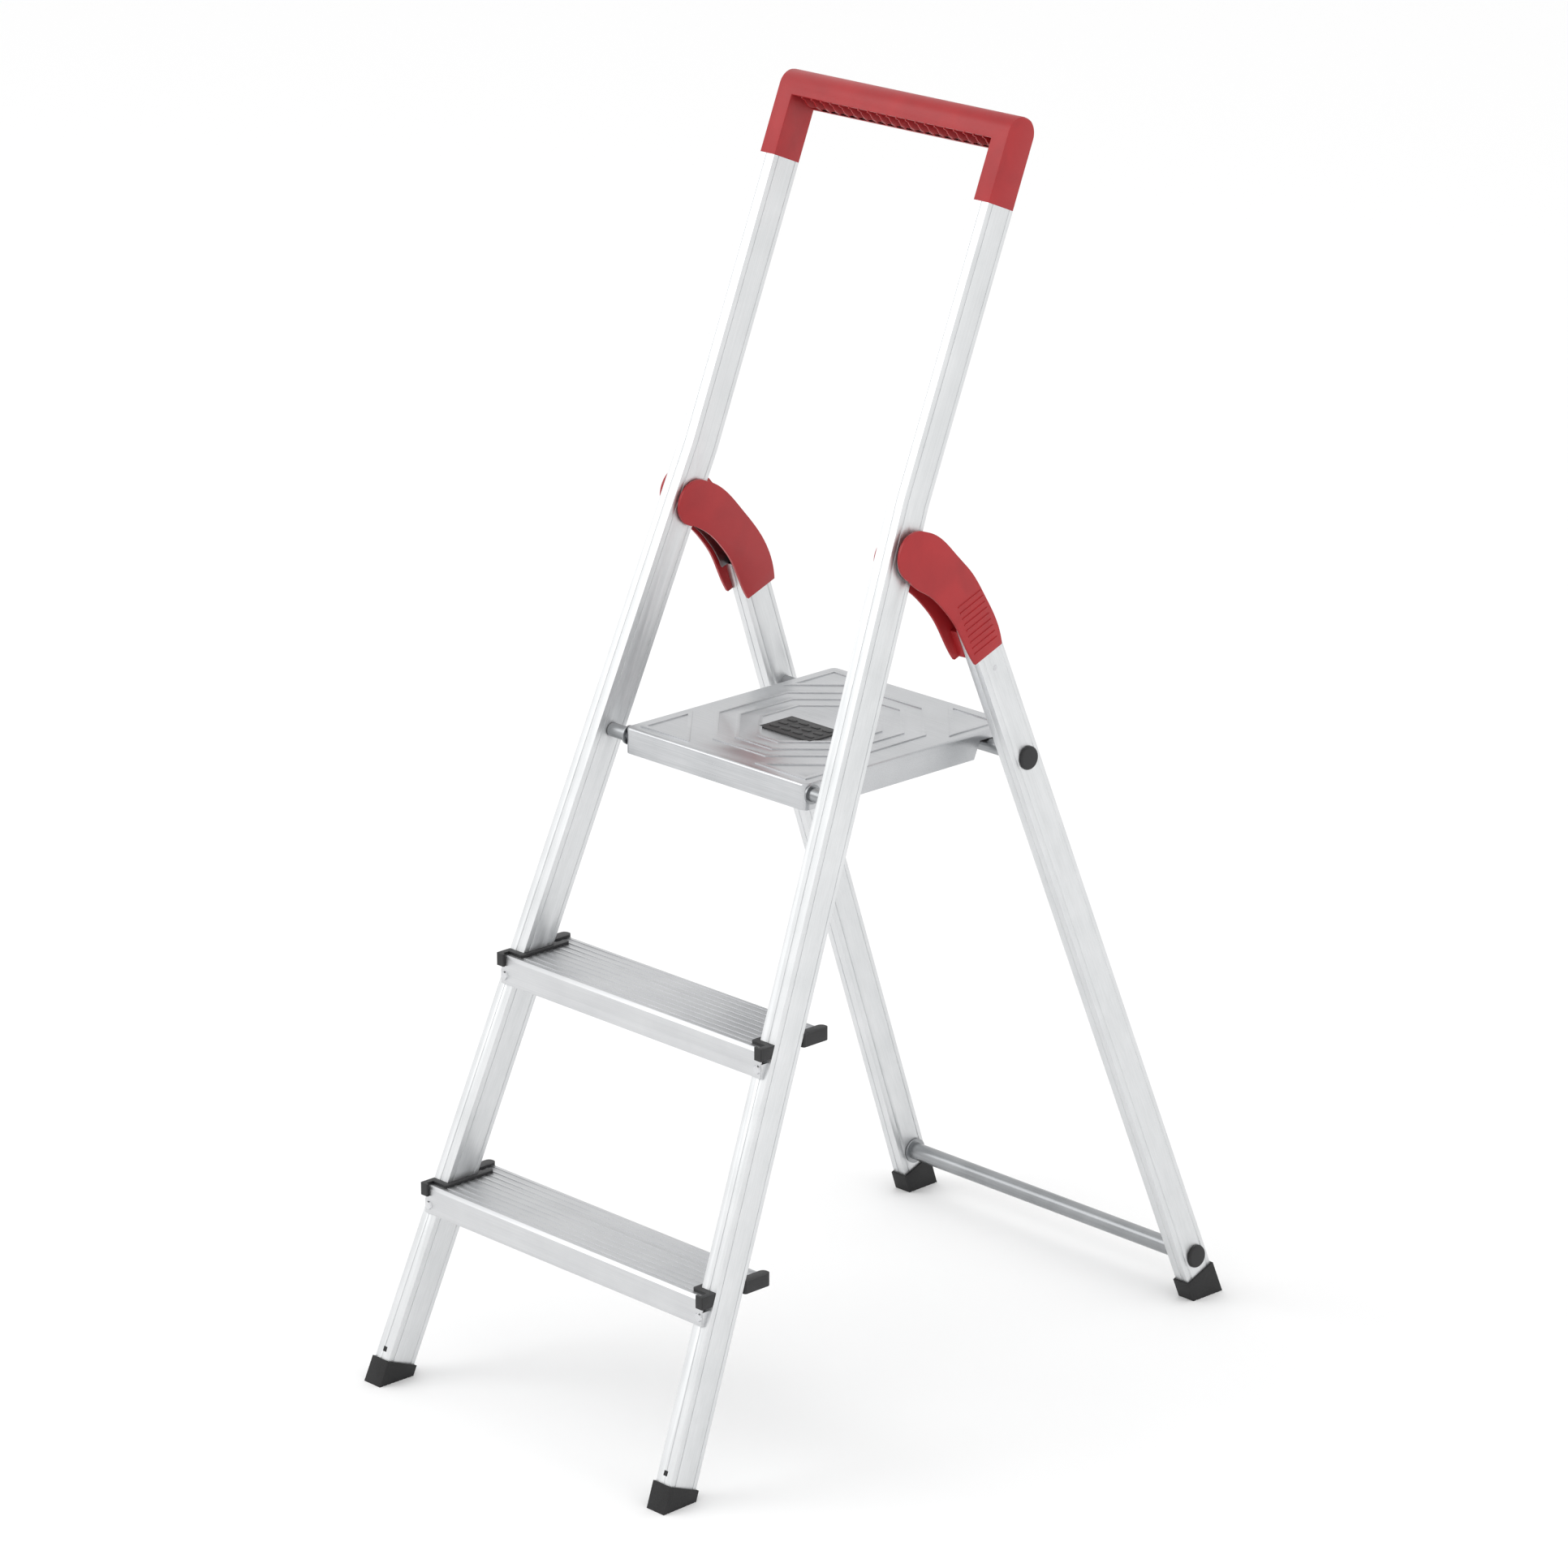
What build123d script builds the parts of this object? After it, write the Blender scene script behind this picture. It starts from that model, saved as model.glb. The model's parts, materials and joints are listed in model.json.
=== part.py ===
from build123d import *
from math import cos, radians, sin, tan
import os

# Folding step ladder with two treads, a platform and a hand rail.
# +X is the climber's right, +Y points from the front rails back to the rear legs, +Z is up.
# The origin is on the floor under the middle of the footprint. All sizes are in millimetres.

# Driving dimensions
platform_height = 630.0
step_heights = {"lower": 192.0, "upper": 410.0}
rail_lean = radians(22.3)
leg_lean = radians(21.0)
rail_front_y = -382.5
leg_front_y = 345.0
rail_width = 19.5
rail_depth = 35.0
leg_width = 16.5
leg_depth = 35.0
wall = 1.5
half_top = 153.0
rail_spread = tan(radians(3.53))
bend_along = 964.0
rail_top = 1250.0
rail_bottom = 20.0
leg_half_foot = 210.0
leg_spread = tan(radians(3.09))
leg_bottom = 20.0
leg_top = 803.0
hinge_along = 915.0
hinge_depth = 25.0
hinge_pin_radius = 4.0
running_gap = 0.05
front_rod_radius = 5.0
rear_rod_radius = 7.0
cross_tube_radius = 9.0
platform_half_width = 125.0
platform_depth = 282.0
platform_front_y = -116.5
platform_skirt = 26.0
sheet = 1.5
handle_top = 1336.0
handle_underside = 1302.0

os.makedirs("parts", exist_ok=True)


def save(piece, name):
    piece.part.label = name
    export_step(piece.part, "parts/" + name + ".step")


def rail_point(along, depth):
    """Y and Z of a point on the rails: along from the floor, depth back from the front face."""
    y = rail_front_y + along * sin(rail_lean) + depth * cos(rail_lean)
    return y, along * cos(rail_lean) - depth * sin(rail_lean)


def leg_point(along, depth):
    """Y and Z of a point on the rear legs, measured the same way from their front face."""
    y = leg_front_y - along * sin(leg_lean) + depth * cos(leg_lean)
    return y, along * cos(leg_lean) + depth * sin(leg_lean)


def rail_edge(along):
    """Outer half width of the front frame, which spreads towards the floor below the bend."""
    return half_top + max(0.0, bend_along - along) * rail_spread


def leg_edge(along):
    return leg_half_foot - along * leg_spread


rail_plane = Plane(origin=(0, rail_front_y, 0), x_dir=(1, 0, 0), z_dir=(0, -cos(rail_lean), sin(rail_lean)))
leg_plane = Plane(origin=(0, leg_front_y, 0), x_dir=(1, 0, 0), z_dir=(0, -cos(leg_lean), -sin(leg_lean)))


def leg_side(side, out):
    """Sketch plane a distance outside a leg's outer face: X is depth, Y runs along the leg."""
    face = Plane(
        origin=(side * leg_half_foot, leg_front_y, 0),
        x_dir=(0, cos(leg_lean), sin(leg_lean)),
        z_dir=(1, -side * leg_spread * sin(leg_lean), side * leg_spread * cos(leg_lean)),
    )
    return face.offset(side * out)


def side_span(side, near, far):
    """Lower and upper X of a stretch between two distances from the middle plane."""
    return sorted((side * near, side * far))


def rail_strip(side, inset, width, bottom, top):
    """Outline of a strip of one rail, seen square to the front frame."""
    levels = [bottom, top]
    if bottom < bend_along < top:
        levels.insert(1, bend_along)
    outer = [(side * (rail_edge(a) - inset), a) for a in levels]
    inner = [(side * (rail_edge(a) - inset - width), a) for a in reversed(levels)]
    Polygon(*outer, *inner, align=None)


def leg_strip(side, inset, width, bottom, top):
    outer = [(side * (leg_edge(a) - inset), a) for a in (bottom, top)]
    inner = [(side * (leg_edge(a) - inset - width), a) for a in (top, bottom)]
    Polygon(*outer, *inner, align=None)


def make_tube(plane, strip, side, width, depth, bottom, top):
    """Closed rectangular tube with fine grooves along its front and both sides."""
    with BuildSketch(plane) as outer:
        strip(side, 0, width, bottom, top)
    extrude(outer.sketch, amount=-depth)
    with BuildSketch(plane.offset(-wall)) as bore:
        strip(side, wall, width - 2 * wall, bottom, top)
    extrude(bore.sketch, amount=-(depth - 2 * wall), mode=Mode.SUBTRACT)
    with BuildSketch(plane) as front_groove:
        strip(side, width * 0.42, groove_width, bottom, top)
    extrude(front_groove.sketch, amount=-groove_depth, mode=Mode.SUBTRACT)
    for share in (0.16, 0.84):
        with BuildSketch(plane.offset(-depth * share)) as side_groove:
            strip(side, -1, 1 + groove_depth, bottom, top)
            strip(side, width - groove_depth, 1 + groove_depth, bottom, top)
        extrude(side_groove.sketch, amount=-groove_width, mode=Mode.SUBTRACT)


groove_width = 1.2
groove_depth = 0.4
sides = {"left": -1, "right": 1}

hinge_y, hinge_z = rail_point(hinge_along, hinge_depth)
front_rod_along = 677.0
front_rod_y, front_rod_z = rail_point(front_rod_along, 18.5)
rear_rod_y, rear_rod_z = leg_point(650, 19.5)
cross_tube_y, cross_tube_z = leg_point(42, 20)


def bar_x(y, z, radius, low, high, mode=Mode.ADD):
    """Add or cut a round bar along X between two X positions."""
    with BuildSketch(Plane.YZ.offset(low)) as section:
        with Locations((y, z)):
            Circle(radius)
    extrude(section.sketch, amount=high - low, mode=mode)


# Front rails
rivet_drop = 20.0
step_rivet_radius = 2.5
tab_along = 36.0
tab_size = 5.0
rails = {}
for name, side in sides.items():
    with BuildPart() as rail:
        make_tube(rail_plane, rail_strip, side, rail_width, rail_depth, rail_bottom, rail_top)
        reach = side_span(side, half_top - 30, half_top + 20)
        bar_x(hinge_y, hinge_z, hinge_pin_radius, *reach, mode=Mode.SUBTRACT)
        # The platform's rod passes only the rail's inner wall
        inner_face = rail_edge(front_rod_along) - rail_width
        reach = side_span(side, inner_face - 5, inner_face + rail_width / 2)
        bar_x(front_rod_y, front_rod_z, front_rod_radius, *reach, mode=Mode.SUBTRACT)
        for height in step_heights.values():
            along = (height - rivet_drop) / cos(rail_lean)
            with BuildSketch(rail_plane):
                with Locations((side * (rail_edge(along) - rail_width / 2), along)):
                    Circle(step_rivet_radius + 0.7)
            extrude(amount=-wall, mode=Mode.SUBTRACT)
        with BuildSketch(rail_plane):
            with Locations((side * (rail_edge(tab_along) - rail_width / 2), tab_along)):
                Rectangle(tab_size, tab_size)
        extrude(amount=-wall, mode=Mode.SUBTRACT)
    save(rail, name + "_rail")
    rails[name] = rail.part

# Rear legs
hinge_rivet_spots = ((17.0, 755.0), (17.0, 788.0))
hinge_rivet_radius = 2.5
legs = {}
for name, side in sides.items():
    with BuildPart() as leg:
        make_tube(leg_plane, leg_strip, side, leg_width, leg_depth, leg_bottom, leg_top)
        reach = side_span(side, half_top - 10, half_top + 80)
        bar_x(rear_rod_y, rear_rod_z, rear_rod_radius, *reach, mode=Mode.SUBTRACT)
        bar_x(cross_tube_y, cross_tube_z, cross_tube_radius, *reach, mode=Mode.SUBTRACT)
        with BuildSketch(leg_side(side, 1)):
            with Locations(*hinge_rivet_spots):
                Circle(hinge_rivet_radius)
        extrude(amount=-side * 5, mode=Mode.SUBTRACT)
    save(leg, name + "_rear_leg")
    legs[name] = leg.part

# Treads: ribbed extrusions with a fascia in front of the rails, notched round each rail
nose_reach = 14.0
tread_back = 70.0
tread_skin = 1.8
fascia_height = 28.5
rear_lip = 12.0
rib_pitch = 8.6
rib_width = 3.2
rib_height = 0.5
trim_wall = 4.0
trim_rise = 2.5
trim_drop = 10.0


def rail_envelope(gap, outward, low, high):
    """Solid outline of both rails with a gap round them, between two distances along the rails."""
    with BuildPart() as envelope:
        for side in sides.values():
            with BuildSketch(rail_plane.offset(gap)):
                rail_strip(side, -gap - outward, rail_width + 2 * gap + outward, low, high)
            extrude(amount=-rail_depth - 2 * gap)
    return envelope.part


for level, height in step_heights.items():
    along = height / cos(rail_lean)
    rail_y = rail_front_y + height * tan(rail_lean)
    rivet_along = (height - rivet_drop) / cos(rail_lean)
    half_width = rail_edge(along) - trim_wall
    nose_y = rail_y - nose_reach
    back_y = rail_y + tread_back
    low_y = rail_y - fascia_height * tan(rail_lean)
    pad_top = height - 14.0
    pad_y = rail_y - 14.0 * tan(rail_lean)
    slot = rail_envelope(0.2, 0, along - 60, along + 30)
    notch = rail_envelope(3.0, 30, along - 60, along + 30)

    with BuildPart() as tread:
        with BuildSketch(Plane.YZ.offset(-half_width)):
            with BuildLine():
                Polyline(
                    (nose_y, height - 6),
                    (nose_y, height - 3),
                    (nose_y + 3, height),
                    (back_y - 2, height),
                    (back_y, height - 2),
                    (back_y, height - rear_lip),
                    (back_y - tread_skin, height - rear_lip),
                    (back_y - tread_skin, height - rib_height - tread_skin),
                    (nose_y + tread_skin, height - rib_height - tread_skin),
                    (nose_y + tread_skin, height - 6),
                    close=True,
                )
            make_face()
        extrude(amount=2 * half_width)
        # The tread's top between the ribs is one rib height lower
        groove_count = 9
        for i in range(groove_count):
            y = nose_y + 7.0 + i * rib_pitch
            with BuildSketch(Plane.YZ.offset(-half_width)):
                with Locations((y, height)):
                    Rectangle(rib_pitch - rib_width, 2 * rib_height)
            extrude(amount=2 * half_width, mode=Mode.SUBTRACT)
        # A webbed underside carries the load between the rails
        for share in (0.35, 0.68):
            y = nose_y + share * (back_y - nose_y)
            with BuildSketch(Plane.YZ.offset(-half_width)):
                with Locations((y, height - rib_height - tread_skin)):
                    Rectangle(tread_skin, 2 * 9.0, align=(Align.CENTER, Align.CENTER))
            extrude(amount=2 * half_width)
        with BuildSketch(Plane.YZ.offset(-half_width)):
            with Locations((0.5 * (nose_y + back_y), height)):
                Rectangle(200, 60, align=(Align.CENTER, Align.MIN))
        extrude(amount=2 * half_width, mode=Mode.SUBTRACT)
        add(notch, mode=Mode.SUBTRACT)
        with BuildSketch(Plane.YZ.offset(-half_width)):
            with Locations((nose_y, height - fascia_height)):
                Rectangle(tread_skin, fascia_height - 5, align=(Align.MIN, Align.MIN))
        extrude(amount=2 * half_width)
        # Wedge pads bring the fascia's back onto the rails' sloping front faces
        for side in sides.values():
            start = side * (rail_edge(along) - rail_width / 2) - 7.0
            with BuildSketch(Plane.YZ.offset(start)):
                Polygon(
                    (nose_y + 0.5, height - fascia_height),
                    (low_y, height - fascia_height),
                    (pad_y, pad_top),
                    (nose_y + 0.5, pad_top),
                    align=None,
                )
            extrude(amount=14.0)
            rivet_y = nose_y - 1
            with BuildSketch(Plane.XZ.offset(-rivet_y)):
                with Locations((side * (rail_edge(rivet_along) - rail_width / 2), height - rivet_drop)):
                    Circle(step_rivet_radius)
            extrude(amount=-30, mode=Mode.SUBTRACT)
    save(tread, level + "_tread")

    # Black end trims wrap the cut ends of the tread and close round the rails
    for name, side in sides.items():
        outer = rail_edge(along)
        inner = outer - rail_width
        fin_start = rail_y + 38.0
        with BuildPart() as trim:
            with BuildSketch(Plane.XY.offset(height - trim_drop)):
                for x_near, x_far, y_near, y_far in (
                    (outer - 6, outer, nose_y - 3, rail_y + 2),
                    (outer - 10, outer, nose_y - 3, nose_y),
                    (inner - 4, outer, rail_y - 6, rail_y + 2),
                    (inner - 6, inner + 1, rail_y - 6, rail_y + 56),
                    (inner - 6, outer, fin_start, fin_start + 6),
                    (inner + 8, outer, fin_start, back_y + 2),
                ):
                    rounding = 0.45 * min(x_far - x_near, y_far - y_near)
                    with Locations((side * (x_near + x_far) / 2, (y_near + y_far) / 2)):
                        RectangleRounded(x_far - x_near, y_far - y_near, rounding)
            extrude(amount=trim_drop + trim_rise)
            # Nothing hangs under the tread behind its second web
            with BuildSketch(Plane.XY.offset(height - trim_drop)):
                with Locations((side * (inner - 3), rail_y + 52)):
                    Rectangle(20, 20)
            extrude(amount=trim_drop - tread_skin, mode=Mode.SUBTRACT)
            add(tread.part, mode=Mode.SUBTRACT)
            add(slot, mode=Mode.SUBTRACT)
        save(trim, level + "_tread_trim_" + name)

# Rivets that hold both fascias on the rails
with BuildPart() as tread_rivets:
    for height in step_heights.values():
        along = (height - rivet_drop) / cos(rail_lean)
        nose_y = rail_front_y + height * tan(rail_lean) - nose_reach
        rail_y = rail_front_y + (height - rivet_drop) * tan(rail_lean)
        for side in sides.values():
            x = side * (rail_edge(along) - rail_width / 2)
            with BuildSketch(Plane.XZ.offset(-nose_y)):
                with Locations((x, height - rivet_drop)):
                    Circle(step_rivet_radius)
            extrude(amount=-(rail_y + 1.2 - nose_y))
            with BuildSketch(Plane.XZ.offset(-nose_y)):
                with Locations((x, height - rivet_drop)):
                    Circle(4.5)
            extrude(amount=1.4, taper=30)
save(tread_rivets, "tread_rivets")

# Hand rail: a moulded U with a round-topped bar, ribbed underneath, plugged into both rails
grip_radius = rail_depth / 2
corner_radius = 2.5
grip_wall = 2.5
grip_rib = 1.6
plug_length = 60.0
with BuildPart() as hand_rail:
    with BuildSketch(rail_plane) as outline:
        with Locations((0, rail_top)):
            Rectangle(2 * half_top, handle_top - rail_top, align=(Align.CENTER, Align.MIN))
        fillet(outline.vertices().group_by(Axis.Y)[-1], corner_radius)
        with Locations((0, rail_top)):
            Rectangle(2 * (half_top - rail_width), handle_underside - rail_top,
                      align=(Align.CENTER, Align.MIN), mode=Mode.SUBTRACT)
    extrude(amount=-rail_depth)
    # Side profile: the arms are as deep as the rails and end in a half round
    with BuildSketch(Plane.YZ.offset(-half_top)):
        corners = [(rail_top, 0), (handle_top - grip_radius, 0),
                   (handle_top - grip_radius, rail_depth), (rail_top, rail_depth)]
        Polygon(*[rail_point(*corner) for corner in corners], align=None)
        with Locations(rail_point(handle_top - grip_radius, grip_radius)):
            Circle(grip_radius)
    extrude(amount=2 * half_top, mode=Mode.INTERSECT)
    # The bar's front skin stops short, and the hollow behind it is crossed by ribs
    with BuildSketch(Plane.YZ.offset(-(half_top - rail_width))):
        Polygon(
            rail_point(handle_underside - 2, -1),
            rail_point(handle_underside + 8, -1),
            rail_point(handle_underside, rail_depth + 1),
            rail_point(handle_underside - 2, rail_depth + 1),
            align=None,
        )
    extrude(amount=2 * (half_top - rail_width), mode=Mode.SUBTRACT)
    bar_centre = rail_point(handle_top - grip_radius, grip_radius)
    with BuildSketch(Plane.YZ.offset(-(half_top - rail_width))):
        with Locations(bar_centre):
            Circle(grip_radius - grip_wall)
        Polygon(
            rail_point(handle_underside - 2, grip_wall),
            rail_point(handle_top - grip_radius, grip_wall),
            rail_point(handle_top - grip_radius, rail_depth - grip_wall),
            rail_point(handle_underside - 2, rail_depth - grip_wall),
            align=None,
        )
    extrude(amount=2 * (half_top - rail_width), mode=Mode.SUBTRACT)
    rib_count = 20
    rib_gap = 2 * (half_top - rail_width) / (rib_count + 1)
    for i in range(rib_count):
        x = -(half_top - rail_width) + (i + 1) * rib_gap
        with BuildSketch(Plane.YZ.offset(x - grip_rib / 2)):
            with Locations(bar_centre):
                Circle(grip_radius - grip_wall + 0.5)
            Polygon(
                rail_point(handle_underside + 6.0, grip_wall - 0.5),
                rail_point(handle_top - grip_radius, grip_wall - 0.5),
                rail_point(handle_top - grip_radius, rail_depth - grip_wall + 0.5),
                rail_point(handle_underside + 1.0, rail_depth - grip_wall + 0.5),
                align=None,
            )
        extrude(amount=grip_rib)
    for side in sides.values():
        with BuildSketch(rail_plane.offset(-wall - 0.2)):
            rail_strip(side, wall + 0.2, rail_width - 2 * wall - 0.4, rail_top - plug_length, rail_top)
        extrude(amount=-(rail_depth - 2 * wall - 0.4))
save(hand_rail, "hand_rail")

# Front feet: rubber caps with a level sole, a plug and a snap tab that shows in the rail
foot_wall = 2.0
foot_top = 26.0
tread_groove = 1.5


def level_sole(pitch, y_low, y_high):
    """Cuts everything below the floor and a row of grooves across the sole."""
    with BuildSketch(Plane.XY) as below:
        Rectangle(1200, 1200)
    extrude(below.sketch, amount=-200, mode=Mode.SUBTRACT)
    y = y_low
    while y < y_high:
        with BuildSketch(Plane.YZ.offset(-300)) as groove:
            Polygon((y, -1), (y + 0.4 * pitch, -1), (y + 0.2 * pitch, tread_groove), align=None)
        extrude(groove.sketch, amount=600, mode=Mode.SUBTRACT)
        y += pitch


for name, side in sides.items():
    with BuildPart() as foot:
        with BuildSketch(rail_plane.offset(foot_wall)):
            rail_strip(side, -foot_wall, rail_width + 2 * foot_wall, -40, foot_top)
        extrude(amount=-(rail_depth + 2 * foot_wall))
        level_sole(5.0, rail_front_y + 2, rail_front_y + 38)
        with BuildSketch(rail_plane.offset(-wall)):
            rail_strip(side, wall, rail_width - 2 * wall, rail_bottom, rail_bottom + 30)
        extrude(amount=-(rail_depth - 2 * wall))
        with BuildSketch(rail_plane):
            with Locations((side * (rail_edge(tab_along) - rail_width / 2), tab_along)):
                Rectangle(tab_size, tab_size)
        extrude(amount=-2 * wall)
        add(rails[name], mode=Mode.SUBTRACT)
    save(foot, name + "_front_foot")

for name, side in sides.items():
    with BuildPart() as foot:
        with BuildSketch(leg_plane.offset(foot_wall)):
            leg_strip(side, -foot_wall, leg_width + 2 * foot_wall, -60, foot_top - 4)
        extrude(amount=-(leg_depth + 2 * foot_wall))
        level_sole(7.0, leg_front_y + 1, leg_front_y + 38)
        with BuildSketch(leg_plane.offset(-wall)):
            leg_strip(side, wall, leg_width - 2 * wall, leg_bottom, leg_bottom + 7)
        extrude(amount=-(leg_depth - 2 * wall))
        add(legs[name], mode=Mode.SUBTRACT)
    save(foot, name + "_rear_foot")

# Platform pivot: a rod between the rails, with a spacer tube each side of the platform
spacer_radius = 7.0
flange_radius = 9.5
rod_end = rail_edge(front_rod_along) - wall - 0.6
spacer_end = rail_edge(front_rod_along) - rail_width - 0.8
with BuildPart() as pivot_rod:
    bar_x(front_rod_y, front_rod_z, front_rod_radius, -rod_end, rod_end)
save(pivot_rod, "platform_pivot_rod")

with BuildPart() as spacers:
    for side in sides.values():
        span = side_span(side, platform_half_width + 0.4, spacer_end)
        flange = side_span(side, platform_half_width + 0.4, platform_half_width + 2.4)
        bar_x(front_rod_y, front_rod_z, spacer_radius, *span)
        bar_x(front_rod_y, front_rod_z, flange_radius, *flange)
        bar_x(front_rod_y, front_rod_z, front_rod_radius, *span, mode=Mode.SUBTRACT)
save(spacers, "platform_spacers")

# Platform: a pressed tray with raised lines, its rear end resting on the rear rod
platform_back_y = platform_front_y + platform_depth
platform_middle_y = platform_front_y + platform_depth / 2
inlay_width = 70.0
inlay_depth = 44.0
inlay_y = platform_middle_y - 26.0
ridge = 1.1
ridge_width = 4.4
rear_skirt = platform_height - rear_rod_z - rear_rod_radius - 0.6


def octagon(half_x, half_y, reach):
    """Outline with its four corners cut at 45 degrees, at a given distance from the middle."""
    points = []
    for sx, sy in ((1, 1), (-1, 1), (-1, -1), (1, -1)):
        along_x = (sx * (reach * 2**0.5 - half_y), sy * half_y)
        along_y = (sx * half_x, sy * (reach * 2**0.5 - half_x))
        points += [along_y, along_x] if sx * sy > 0 else [along_x, along_y]
    return points


with BuildPart() as platform:
    with BuildSketch(Plane.XY.offset(platform_height - platform_skirt)):
        with Locations((0, platform_middle_y)):
            RectangleRounded(2 * platform_half_width, platform_depth, 7)
    extrude(amount=platform_skirt)
    fillet(faces().sort_by(Axis.Z)[-1].edges(), 3)
    with BuildSketch(Plane.XY.offset(platform_height - platform_skirt)):
        with Locations((0, platform_middle_y)):
            RectangleRounded(2 * (platform_half_width - sheet), platform_depth - 2 * sheet, 5)
    extrude(amount=platform_skirt - sheet, mode=Mode.SUBTRACT)
    # Only a shallow skirt is left over the rear rod, behind a sloping cut
    with BuildSketch(Plane.YZ.offset(-200)):
        Polygon(
            (rear_rod_y - 22, platform_height - platform_skirt - 1),
            (rear_rod_y - 14, platform_height - rear_skirt),
            (platform_back_y + 5, platform_height - rear_skirt),
            (platform_back_y + 5, platform_height - platform_skirt - 1),
            align=None,
        )
    extrude(amount=400, mode=Mode.SUBTRACT)
    bar_x(front_rod_y, front_rod_z, front_rod_radius + running_gap, -200, 200, mode=Mode.SUBTRACT)
    for half_x, half_y, reach in ((97, 108, 102), (78, 89, 81), (59, 70, 60)):
        with BuildSketch(Plane.XY.offset(platform_height - 0.2)):
            with Locations((0, platform_middle_y)):
                Polygon(*octagon(half_x, half_y, reach), align=None)
                offset(amount=-ridge_width, mode=Mode.SUBTRACT)
        extrude(amount=ridge + 0.2)
    # A raised triangle in each corner
    with BuildSketch(Plane.XY.offset(platform_height - 0.2)):
        with Locations((0, platform_middle_y)):
            for sx in (-1, 1):
                for sy in (-1, 1):
                    Polygon((sx * 114, sy * 61), (sx * 114, sy * 130), (sx * 45, sy * 130), align=None)
                    Polygon((sx * 109.6, sy * 71.6), (sx * 109.6, sy * 125.6), (sx * 55.6, sy * 125.6),
                            align=None, mode=Mode.SUBTRACT)
    extrude(amount=ridge + 0.2)
    with BuildSketch(Plane.XY.offset(platform_height - 5)):
        with Locations((0, inlay_y)):
            Rectangle(inlay_width, inlay_depth)
    extrude(amount=10, mode=Mode.SUBTRACT)
save(platform, "platform")

# Black inlay pressed into the tray, with plain raised bars for grip
with BuildPart() as inlay:
    with BuildSketch(Plane.XY.offset(platform_height - sheet)):
        with Locations((0, inlay_y)):
            Rectangle(inlay_width, inlay_depth)
    extrude(amount=sheet + 1.2)
    fillet(faces().sort_by(Axis.Z)[-1].edges(), 0.8)
    with BuildSketch(Plane.XY.offset(platform_height + 1.2)):
        with Locations((0, inlay_y)):
            with GridLocations(16, 12, 4, 3):
                RectangleRounded(11, 5, 1.5)
    extrude(amount=0.6)
    with BuildSketch(Plane.XY.offset(platform_height - 4)):
        with Locations((0, inlay_y)):
            Rectangle(inlay_width + 6, inlay_depth + 6)
    extrude(amount=4 - sheet)
save(inlay, "platform_inlay")

# Two hooks under the platform's rear end lie over the rear rod from above and behind
hook_width = 14.0
with BuildPart() as hooks:
    for side in sides.values():
        start = side * (platform_half_width - sheet - 9.5) - hook_width / 2
        with BuildSketch(Plane.YZ.offset(start)):
            Polygon(
                (rear_rod_y - 12, platform_height - sheet),
                (rear_rod_y + 20, platform_height - sheet),
                (rear_rod_y + 16, rear_rod_z - 6),
                (rear_rod_y + 9, rear_rod_z - 6),
                (rear_rod_y + 9, rear_rod_z),
                (rear_rod_y, rear_rod_z + 8),
                (rear_rod_y - 12, rear_rod_z + 8),
                align=None,
            )
            with Locations((rear_rod_y, rear_rod_z)):
                Circle(rear_rod_radius + 0.6, mode=Mode.SUBTRACT)
        extrude(amount=hook_width)
save(hooks, "platform_hooks")


def tube_between_legs(y, z, radius, bore, along):
    """Hollow tube along X that ends just inside the legs' outer faces."""
    reach = leg_edge(along) - 1.2
    bar_x(y, z, radius, -reach, reach)
    bar_x(y, z, bore, -reach, reach, mode=Mode.SUBTRACT)


tube_wall = 1.5
collar_radius = 13.0
with BuildPart() as rear_rod:
    tube_between_legs(rear_rod_y, rear_rod_z, rear_rod_radius, rear_rod_radius - tube_wall, 650)
save(rear_rod, "rear_rod")

with BuildPart() as cross_tube:
    tube_between_legs(cross_tube_y, cross_tube_z, cross_tube_radius, cross_tube_radius - tube_wall, 42)
    for side in sides.values():
        span = side_span(side, leg_edge(42) - leg_width - 3.1, leg_edge(42) - leg_width - 1.1)
        bar_x(cross_tube_y, cross_tube_z, collar_radius, *span)
        bar_x(cross_tube_y, cross_tube_z, cross_tube_radius - tube_wall, *span, mode=Mode.SUBTRACT)
save(cross_tube, "cross_tube")


cap_radius = 11.7
cap_height = 3.5
for name, depth, along in (("rear_rod_caps", 19.5, 650), ("cross_tube_caps", 20.0, 42)):
    with BuildPart() as caps:
        for side in sides.values():
            with BuildSketch(leg_side(side, 0.1)):
                with Locations((depth, along)):
                    Circle(cap_radius)
            extrude(amount=side * cap_height)
        rims = edges().filter_by(GeomType.CIRCLE).sort_by(Axis.X)
        fillet([rims[0], rims[-1]], 2.4)
    save(caps, name)

# Hinges: a steel arm inside each leg, a pin through the rail and a two-sided moulded cover
pivot_a = 909.6
outer_head = (-29.5, 909.5, 24.5)
inner_head = (-36.0, 906.5, 23.0)
arm_head = (-33.5, 907.5, 21.5)
inner_drop = 15.0
cover_skin = 3.0
pin_head = 6.5
rivet_head = 4.5
cover_end = 774.0
arm_thickness = 2.0
arm_end = 740.0
inner_plate = -25.4
web_wall = 2.5


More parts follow.
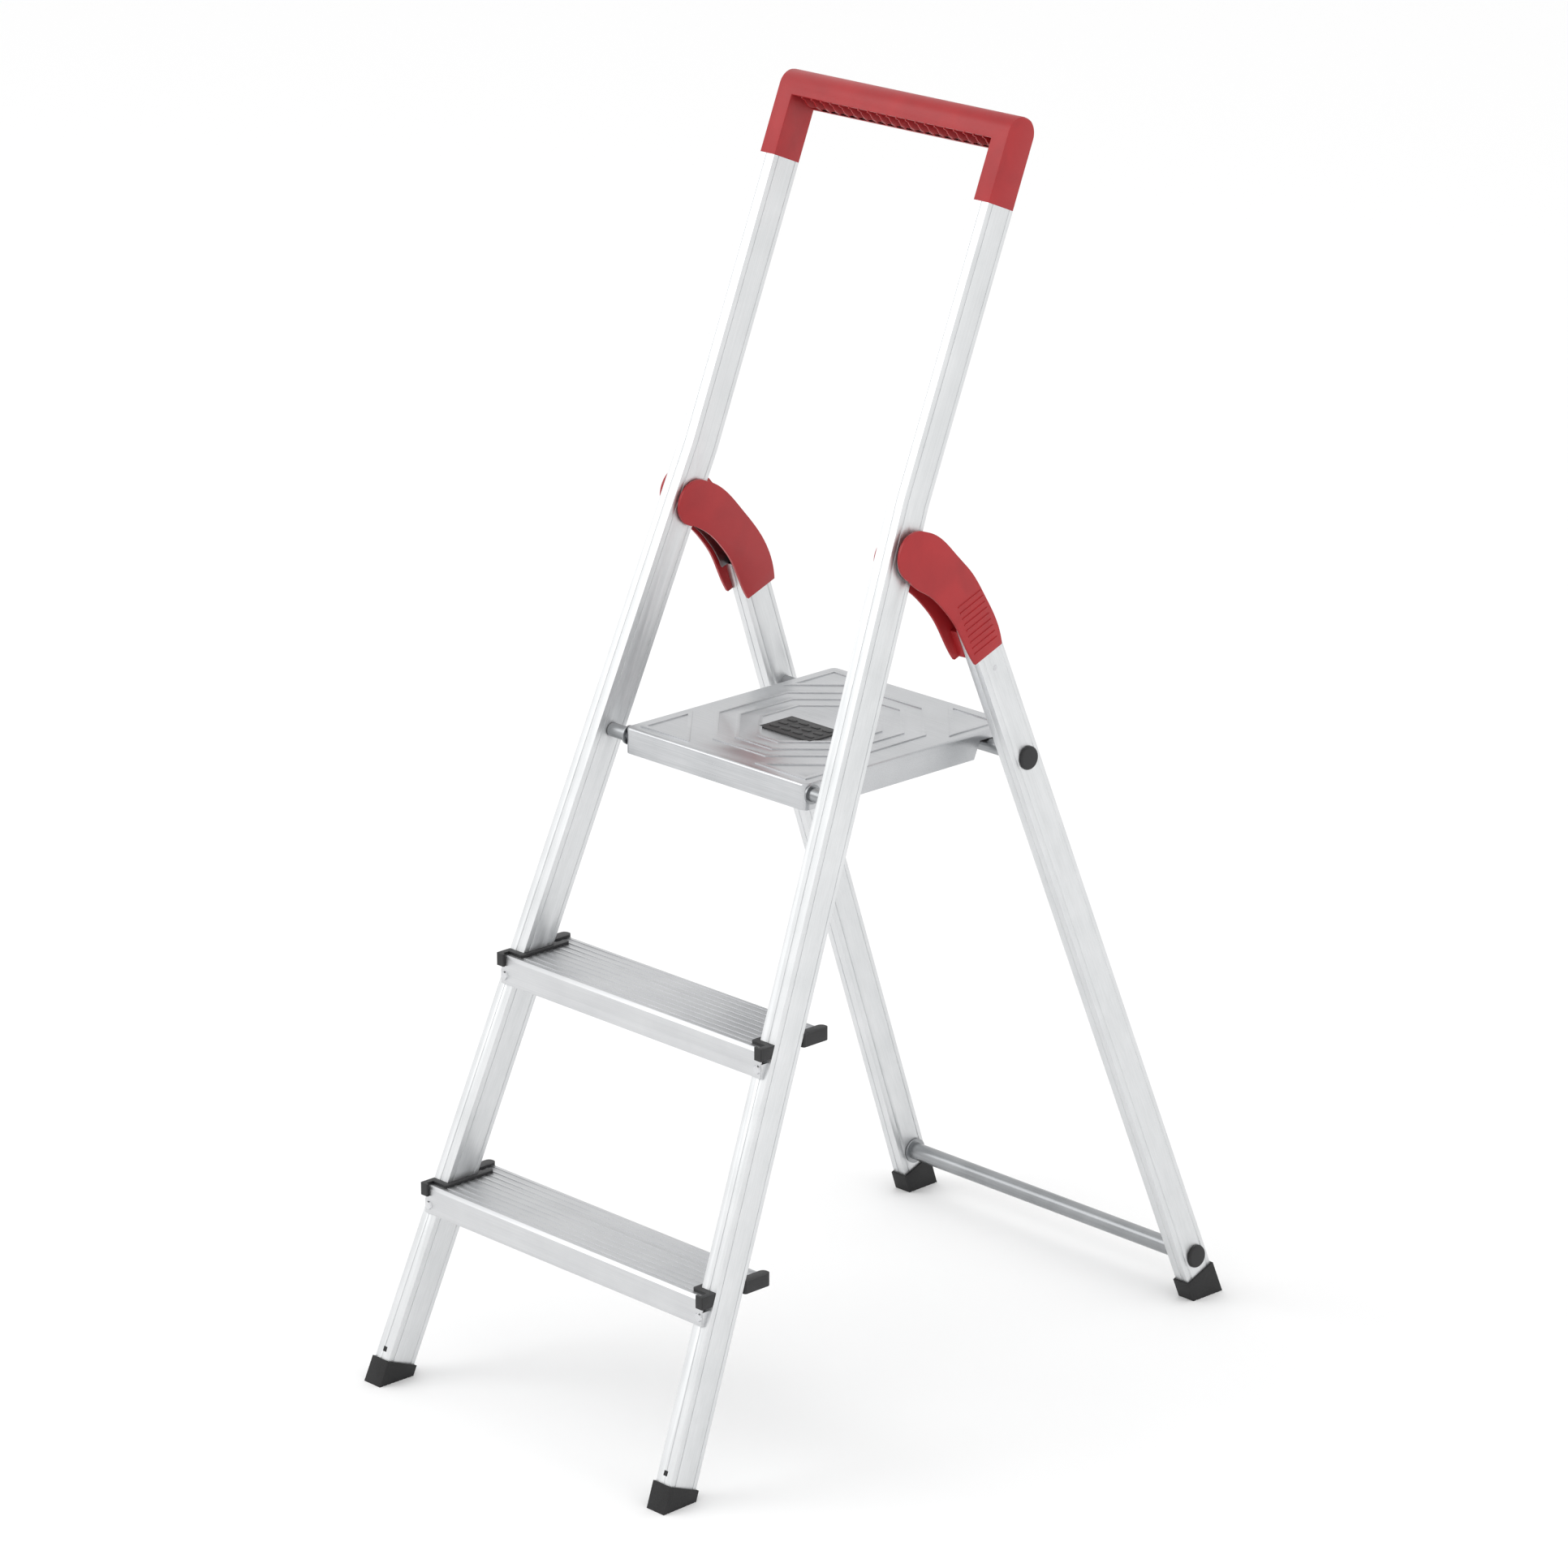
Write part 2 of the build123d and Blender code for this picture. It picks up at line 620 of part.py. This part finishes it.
def cover_outline(head, drop, inset, mode=Mode.ADD):
    """Curved plate from a round head at the pin to a square end on the leg; drop lowers its rear edge."""
    head_d, head_a, radius = head
    with BuildLine() as edge:
        front = Spline(
            (head_d - 0.79 * radius + 1.3 * inset, head_a - 0.57 * radius),
            (-42 + inset, 881),
            (-30 + inset, 865),
            (-20.5 + inset, 845),
            (-13.5 + inset, 823),
            (-9 + inset, 787),
            (-6.3 + inset, cover_end),
        )
        rear = Spline(
            (31.5 - inset, cover_end),
            (34 - inset, 789),
            (33.6 - inset, 807),
            (30.3 - inset, 830 - drop / 3),
            (25 - inset, 857 - drop),
            (14.4 - inset, 884 - drop),
            (2.4 - inset, 911 - drop),
            (head_d + 0.57 * radius - inset, head_a + 0.79 * radius - inset),
        )
        Line(front @ 1, rear @ 0)
        Line(rear @ 1, front @ 0)
    make_face(edge.line, mode=mode)
    with Locations((head_d, head_a)):
        Circle(radius - inset, mode=mode)


for name, side in sides.items():
    plate_x = leg_edge(pivot_a) + inner_plate
    with BuildPart() as arm:
        with BuildSketch(leg_side(side, -wall)):
            cover_outline(arm_head, inner_drop, 3.0)
            with Locations((0, leg_top - 98)):
                Rectangle(200, 200, mode=Mode.SUBTRACT)
            with Locations((leg_depth / 2, (arm_end + leg_top + 3) / 2)):
                Rectangle(leg_depth - 2 * wall - 1, leg_top + 3 - arm_end)
        extrude(amount=-side * arm_thickness)
        reach = side_span(side, 100, 200)
        bar_x(hinge_y, hinge_z, hinge_pin_radius + running_gap, *reach, mode=Mode.SUBTRACT)
        with BuildSketch(leg_side(side, 1)):
            with Locations(*hinge_rivet_spots):
                Circle(hinge_rivet_radius)
        extrude(amount=-side * 10, mode=Mode.SUBTRACT)
    save(arm, name + "_hinge_arm")

    with BuildPart() as cover:
        with BuildSketch(leg_side(side, 0.1)):
            cover_outline(outer_head, 0, 0)
        extrude(amount=side * cover_skin)
        with BuildSketch(leg_side(side, inner_plate)):
            cover_outline(inner_head, inner_drop, 0)
        extrude(amount=-side * cover_skin)
        # A wall along the rear edge joins both plates, above the leg and clear of the rail
        with BuildSketch(leg_side(side, 0.1)):
            cover_outline(inner_head, inner_drop, 0)
            cover_outline(inner_head, inner_drop, web_wall, mode=Mode.SUBTRACT)
            with Locations((49, leg_top + 54)):
                Rectangle(100, 100, mode=Mode.INTERSECT)
        extrude(amount=side * (inner_plate - 0.1))
        # A pad on the inner plate bears on the leg
        with BuildSketch(leg_side(side, inner_plate)):
            with Locations((16.5, (cover_end + leg_top) / 2)):
                Rectangle(33, leg_top - cover_end)
        extrude(amount=side * (-leg_width - 0.3 - inner_plate))
        blind = side_span(side, plate_x - 1.6, plate_x + 8)
        bar_x(hinge_y, hinge_z, hinge_pin_radius + running_gap, *blind, mode=Mode.SUBTRACT)
    save(cover, name + "_hinge_cover")

with BuildPart() as pins:
    for side in sides.values():
        plate_x = leg_edge(pivot_a) + inner_plate
        arm_x = leg_edge(pivot_a) - wall
        bar_x(hinge_y, hinge_z, hinge_pin_radius, *side_span(side, plate_x - 1.5, arm_x + 0.6))
        bar_x(hinge_y, hinge_z, pin_head, *side_span(side, arm_x + 0.4, arm_x + 1.1))
save(pins, "hinge_pins")

with BuildPart() as hinge_rivets:
    for side in sides.values():
        with BuildSketch(leg_side(side, 0)):
            with Locations(*hinge_rivet_spots):
                Circle(hinge_rivet_radius)
        extrude(amount=-side * (wall + arm_thickness))
        with BuildSketch(leg_side(side, -wall - arm_thickness)):
            with Locations(*hinge_rivet_spots):
                Circle(rivet_head)
        extrude(amount=-side * 1.5)
save(hinge_rivets, "hinge_rivets")
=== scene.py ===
import json
import math
import bpy
from mathutils import Matrix, Vector

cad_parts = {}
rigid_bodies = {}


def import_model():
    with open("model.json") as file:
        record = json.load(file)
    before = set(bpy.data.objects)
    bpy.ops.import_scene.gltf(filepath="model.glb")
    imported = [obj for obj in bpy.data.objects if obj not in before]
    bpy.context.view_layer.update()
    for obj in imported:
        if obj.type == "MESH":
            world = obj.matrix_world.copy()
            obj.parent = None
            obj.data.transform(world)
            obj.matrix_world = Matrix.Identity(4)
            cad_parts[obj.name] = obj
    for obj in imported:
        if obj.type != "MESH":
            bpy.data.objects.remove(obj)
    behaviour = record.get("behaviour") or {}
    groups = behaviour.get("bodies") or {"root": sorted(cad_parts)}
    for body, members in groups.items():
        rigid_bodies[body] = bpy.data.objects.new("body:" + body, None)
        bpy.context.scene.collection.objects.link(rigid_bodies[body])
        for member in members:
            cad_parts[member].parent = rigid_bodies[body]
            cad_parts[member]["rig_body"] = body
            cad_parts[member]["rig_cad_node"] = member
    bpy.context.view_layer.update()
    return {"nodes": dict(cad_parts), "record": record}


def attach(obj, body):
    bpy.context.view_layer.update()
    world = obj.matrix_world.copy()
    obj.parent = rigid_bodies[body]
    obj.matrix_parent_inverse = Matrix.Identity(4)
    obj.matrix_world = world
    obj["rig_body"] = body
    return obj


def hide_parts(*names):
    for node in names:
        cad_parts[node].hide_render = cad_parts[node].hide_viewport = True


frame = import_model()
MM = 0.001

# Angles of the two frames from upright, which the drawn lines of their metal follow
RAIL_LEAN = math.radians(22.3)
LEG_LEAN = math.radians(-21.0)


# ---------------------------------------------------------------- materials

def linear(hex_colour):
    """Linear RGBA from an sRGB hex colour."""
    channels = [int(hex_colour[i:i + 2], 16) / 255 for i in (0, 2, 4)]
    return [c / 12.92 if c <= 0.04045 else ((c + 0.055) / 1.055) ** 2.4 for c in channels] + [1.0]


def add_node(tree, kind, inputs=None, **settings):
    """Adds a node with its settings; an input is a value, or the (node, output) it links from."""
    node = tree.nodes.new(kind)
    for key, value in settings.items():
        setattr(node, key, value)
    for key, value in (inputs or {}).items():
        if isinstance(value, tuple) and isinstance(value[0], bpy.types.Node):
            tree.links.new(value[0].outputs[value[1]], node.inputs[key])
        else:
            node.inputs[key].default_value = value
    return node


def start_material(name):
    material = bpy.data.materials.new(name)
    material.use_nodes = True
    tree = material.node_tree
    return material, tree, tree.nodes["Principled BSDF"]


def drawn_metal(name, colours, roughness, lean=0.0, along="Z", line_mm=1.4, line_length_mm=140.0, bump=0.05,
                cloud=0.5):
    """Extruded or rolled metal: fine lines along one direction and broad soft clouds of tone."""
    material, tree, shader = start_material(name)
    place = add_node(tree, "ShaderNodeTexCoord")
    across, length = 1 / (line_mm * MM), 1 / (line_length_mm * MM)
    stretch = [across, across, across]
    stretch["XYZ".index(along)] = length
    turned = add_node(tree, "ShaderNodeMapping", {"Vector": (place, "Object"), "Rotation": (lean, 0, 0)})
    stretched = add_node(tree, "ShaderNodeMapping", {"Vector": (turned, "Vector"), "Scale": stretch})
    lines = add_node(tree, "ShaderNodeTexNoise", {"Vector": (stretched, "Vector"), "Scale": 1.0, "Detail": 3.0,
                                                  "Roughness": 0.6})
    clouds = add_node(tree, "ShaderNodeTexNoise", {"Vector": (place, "Object"), "Scale": 22.0, "Detail": 4.0})
    mixed = add_node(tree, "ShaderNodeMix", {"Factor": cloud, "A": (lines, "Fac"), "B": (clouds, "Fac")})
    tone = add_node(tree, "ShaderNodeMapRange", {"Value": (mixed, "Result"), "From Min": 0.3, "From Max": 0.7})
    colour = add_node(tree, "ShaderNodeMix", {"Factor": (tone, "Result"), "A": linear(colours[0]),
                                              "B": linear(colours[1])}, data_type="RGBA")
    gloss = add_node(tree, "ShaderNodeMapRange", {"Value": (mixed, "Result"), "From Min": 0.3, "From Max": 0.7,
                                                  "To Min": roughness[0], "To Max": roughness[1]})
    relief = add_node(tree, "ShaderNodeBump", {"Height": (lines, "Fac"), "Strength": bump, "Distance": 0.2 * MM})
    tree.links.new(colour.outputs["Result"], shader.inputs["Base Color"])
    tree.links.new(gloss.outputs["Result"], shader.inputs["Roughness"])
    tree.links.new(relief.outputs["Normal"], shader.inputs["Normal"])
    shader.inputs["Metallic"].default_value = 1.0
    return material


def moulded(name, colours, roughness, grain_mm, bump, ior=1.5):
    """Moulded plastic or rubber: a fine even grain, with slow flow marks in its tone."""
    material, tree, shader = start_material(name)
    place = add_node(tree, "ShaderNodeTexCoord")
    grain = add_node(tree, "ShaderNodeTexNoise", {"Vector": (place, "Object"), "Scale": 1 / (grain_mm * MM),
                                                  "Detail": 2.0})
    flow = add_node(tree, "ShaderNodeTexNoise", {"Vector": (place, "Object"), "Scale": 30.0, "Detail": 3.0,
                                                 "Distortion": 0.6})
    tone = add_node(tree, "ShaderNodeMapRange", {"Value": (flow, "Fac"), "From Min": 0.3, "From Max": 0.7})
    colour = add_node(tree, "ShaderNodeMix", {"Factor": (tone, "Result"), "A": linear(colours[0]),
                                              "B": linear(colours[1])}, data_type="RGBA")
    gloss = add_node(tree, "ShaderNodeMapRange", {"Value": (grain, "Fac"), "From Min": 0.3, "From Max": 0.7,
                                                  "To Min": roughness[0], "To Max": roughness[1]})
    relief = add_node(tree, "ShaderNodeBump", {"Height": (grain, "Fac"), "Strength": bump, "Distance": 0.1 * MM})
    tree.links.new(colour.outputs["Result"], shader.inputs["Base Color"])
    tree.links.new(gloss.outputs["Result"], shader.inputs["Roughness"])
    tree.links.new(relief.outputs["Normal"], shader.inputs["Normal"])
    shader.inputs["IOR"].default_value = ior
    return material


# Clear anodised extrusion: pale and silky, with faint lines drawn along its length
rail_metal = drawn_metal("anodised_aluminium_rails", ("D6D8D9", "E6E7E8"), (0.38, 0.50), RAIL_LEAN)
leg_metal = drawn_metal("anodised_aluminium_legs", ("D4D6D7", "E4E5E6"), (0.38, 0.50), LEG_LEAN)
# Plain extrusion, a little greyer where feet polish it
tread_metal = drawn_metal("extruded_aluminium_treads", ("C9CACC", "D8D9DA"), (0.38, 0.46), along="X", line_mm=1.4,
                          bump=0.02)
# Rolled and brushed sheet: cooler, with sharper streaks across the tray
platform_metal = drawn_metal("brushed_aluminium_sheet", ("B4B6B8", "CFD0D2"), (0.26, 0.38), along="X", line_mm=0.9,
                             line_length_mm=60.0, bump=0.08, cloud=0.35)
# Zinc plated steel: mid grey, smooth, with soft blotches
plated_steel = drawn_metal("zinc_plated_steel", ("8E9092", "A9ABAD"), (0.26, 0.38), along="X", line_mm=2.0)
# Rivets of plain aluminium, burnished by the setting tool
rivet_metal = drawn_metal("burnished_aluminium_rivets", ("C4C5C7", "E0E1E3"), (0.18, 0.30), line_mm=0.8,
                          line_length_mm=2.0)
# Polypropylene moulded satin: clean bright red with a fine spark-eroded grain
red_plastic = moulded("red_polypropylene", ("9C161C", "A81B20"), (0.36, 0.48), 0.7, 0.10)
# Black polyamide with a slightly dry skin
black_plastic = moulded("black_polyamide", ("161617", "202022"), (0.42, 0.58), 0.8, 0.15)
# Thermoplastic rubber: matte and dusty black
black_rubber = moulded("black_rubber", ("131314", "1D1D1E"), (0.62, 0.80), 0.9, 0.25, ior=1.52)


# ---------------------------------------------------------------- modelling helpers

def only(piece):
    """Selects one object alone and makes it the active one."""
    bpy.ops.object.select_all(action="DESELECT")
    piece.select_set(True)
    bpy.context.view_layer.objects.active = piece


def finish_piece(piece, body, material, slot, *stands_for):
    piece.data.materials.clear()
    piece.data.materials.append(material)
    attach(piece, body)
    if stands_for:
        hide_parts(*stands_for)


def softened(node, bevel_mm, segments=2, smooth_degrees=35.0):
    """A copy of a CAD node with its arrises eased, as a tumbled extrusion or a moulding has them."""
    source = frame["nodes"][node]
    piece = source.copy()
    piece.data = source.data.copy()
    piece.name = node + "_finished"
    piece.data.name = piece.name
    piece.parent = None
    piece.matrix_world = Matrix.Identity(4)
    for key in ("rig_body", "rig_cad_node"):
        if key in piece:
            del piece[key]
    bpy.context.scene.collection.objects.link(piece)
    only(piece)
    bpy.ops.object.mode_set(mode="EDIT")
    bpy.ops.mesh.select_all(action="SELECT")
    bpy.ops.mesh.remove_doubles(threshold=0.005 * MM)
    bpy.ops.mesh.customdata_custom_splitnormals_clear()
    bpy.ops.mesh.dissolve_limited(angle_limit=math.radians(1.0))
    bpy.ops.object.mode_set(mode="OBJECT")
    bpy.ops.object.modifier_add(type="BEVEL")
    ease = piece.modifiers[-1]
    ease.width = bevel_mm * MM
    ease.segments = segments
    ease.limit_method = "ANGLE"
    ease.angle_limit = math.radians(40)
    ease.harden_normals = False
    bpy.ops.object.modifier_apply(modifier=ease.name)
    bpy.ops.object.shade_smooth_by_angle(angle=math.radians(smooth_degrees))
    return piece


# ---------------------------------------------------------------- the ladder's pieces

slots = {part["node"]: part["material_slot"] for part in frame["record"]["subparts"]}
bodies = {node: body for body, nodes in frame["record"]["behaviour"]["bodies"].items() for node in nodes}

finishes = {
    "anodised_rails": rail_metal,
    "extruded_treads": tread_metal,
    "brushed_platform": platform_metal,
    "plated_rods": plated_steel,
    "rivet_steel": rivet_metal,
    "red_plastic": red_plastic,
    "black_plastic": black_plastic,
    "black_rubber": black_rubber,
}
for node, piece in frame["nodes"].items():
    metal = leg_metal if "rear_leg" in node else finishes[slots[node]]
    piece.data.materials.clear()
    piece.data.materials.append(metal)

eased = {
    "left_rail": 0.5, "right_rail": 0.5, "left_rear_leg": 0.5, "right_rear_leg": 0.5,
    "lower_tread": 0.3, "upper_tread": 0.3, "hand_rail": 0.6,
    "left_hinge_cover": 0.7, "right_hinge_cover": 0.7,
    "left_front_foot": 0.6, "right_front_foot": 0.6, "left_rear_foot": 0.6, "right_rear_foot": 0.6,
    "lower_tread_trim_left": 0.5, "lower_tread_trim_right": 0.5,
    "upper_tread_trim_left": 0.5, "upper_tread_trim_right": 0.5,
    "platform": 0.7,
    "rear_rod_caps": 0.6, "cross_tube_caps": 0.6, "platform_inlay": 0.3,
}
for node, width in eased.items():
    piece = softened(node, width, 3)
    metal = leg_metal if "rear_leg" in node else finishes[slots[node]]
    finish_piece(piece, bodies[node], metal, slots[node], node)


def oval_rib(name, place, size, turn):
    """One soft raised rib: a cube drawn out, rounded on every edge and turned onto its face."""
    bpy.ops.object.select_all(action="DESELECT")
    bpy.ops.mesh.primitive_cube_add(size=1.0, location=(0, 0, 0))
    rib = bpy.context.object
    rib.name = name
    rib.data.name = name
    bpy.ops.object.mode_set(mode="EDIT")
    bpy.ops.mesh.select_all(action="SELECT")
    bpy.ops.transform.resize(value=size)
    bpy.ops.mesh.bevel(offset=0.45 * min(size), segments=3, affect="EDGES")
    bpy.ops.transform.rotate(value=-turn, orient_axis="X", center_override=(0, 0, 0))
    bpy.ops.transform.translate(value=place)
    bpy.ops.object.mode_set(mode="OBJECT")
    bpy.ops.object.shade_smooth_by_angle(angle=math.radians(50))
    return rib


# Fine raised ribs cross the lower half of each cover's outer plate, laid out along and across the rear leg
LEG_HALF_FOOT = 210.0 * MM
LEG_FRONT_Y = 345.0 * MM
LEG_SPREAD = math.tan(math.radians(3.09))
COVER_FACE = 3.3 * MM
RIB_COUNT = 9
RIB_START = 783.0 * MM
RIB_PITCH = 6.6 * MM
RIB_SIZE = (1.2 * MM, 32.85 * MM, 1.6 * MM)
lean = -LEG_LEAN
for side, node in ((-1, "left_hinge_cover"), (1, "right_hinge_cover")):
    ribs = []
    for i in range(RIB_COUNT):
        along = RIB_START + RIB_PITCH * i
        depth = (12.5 - 0.035 * i) * MM
        x = side * (LEG_HALF_FOOT - along * LEG_SPREAD + COVER_FACE)
        y = LEG_FRONT_Y - along * math.sin(lean) + depth * math.cos(lean)
        z = along * math.cos(lean) + depth * math.sin(lean)
        ribs.append(oval_rib(f"{node}_rib_{i}", (x, y, z), RIB_SIZE, lean))
    only(ribs[0])
    for rib in ribs[1:]:
        rib.select_set(True)
    bpy.ops.object.join()
    ribs[0].name = node + "_ribs"
    finish_piece(ribs[0], bodies[node], red_plastic, "red_plastic")


# ---------------------------------------------------------------- floor, light and camera

bpy.ops.object.select_all(action="DESELECT")
bpy.ops.mesh.primitive_plane_add(size=60.0, location=(0, 0, 0))
floor = bpy.context.object
floor.name = "floor"
floor_paint, floor_tree, floor_shader = start_material("pale_studio_floor")
floor_shader.inputs["Base Color"].default_value = linear("FCFCFC")
floor_shader.inputs["Roughness"].default_value = 0.9
floor.data.materials.append(floor_paint)

world = bpy.data.worlds.new("soft_studio")
bpy.context.scene.world = world
world.use_nodes = True
world.node_tree.nodes["Background"].inputs["Color"].default_value = (1.0, 1.0, 1.0, 1.0)
world.node_tree.nodes["Background"].inputs["Strength"].default_value = 1.0


def softbox(name, place, target, size, watts):
    light = bpy.data.lights.new(name, "AREA")
    light.shape = "RECTANGLE"
    light.size, light.size_y = size
    light.energy = watts
    lamp = bpy.data.objects.new(name, light)
    lamp.location = place
    lamp.rotation_euler = (Vector(target) - Vector(place)).to_track_quat("-Z", "Y").to_euler()
    bpy.context.scene.collection.objects.link(lamp)


middle = (0, 0, 0.6)
softbox("key", (-2.6, -3.2, 3.4), middle, (3.0, 3.0), 50)
softbox("side", (4.2, 0.6, 2.2), middle, (1.6, 2.6), 12)

eye = Vector((4.0746, -3.9423, 2.4432))
aim = Vector((0, -0.0238, 0.5802))
camera = bpy.data.cameras.new("camera")
camera.sensor_width = 36.0
camera.lens = 142.5
camera_object = bpy.data.objects.new("camera", camera)
camera_object.location = eye
camera_object.rotation_euler = (aim - eye).to_track_quat("-Z", "Y").to_euler()
bpy.context.scene.collection.objects.link(camera_object)
bpy.context.scene.camera = camera_object
bpy.context.scene.view_settings.view_transform = "Standard"
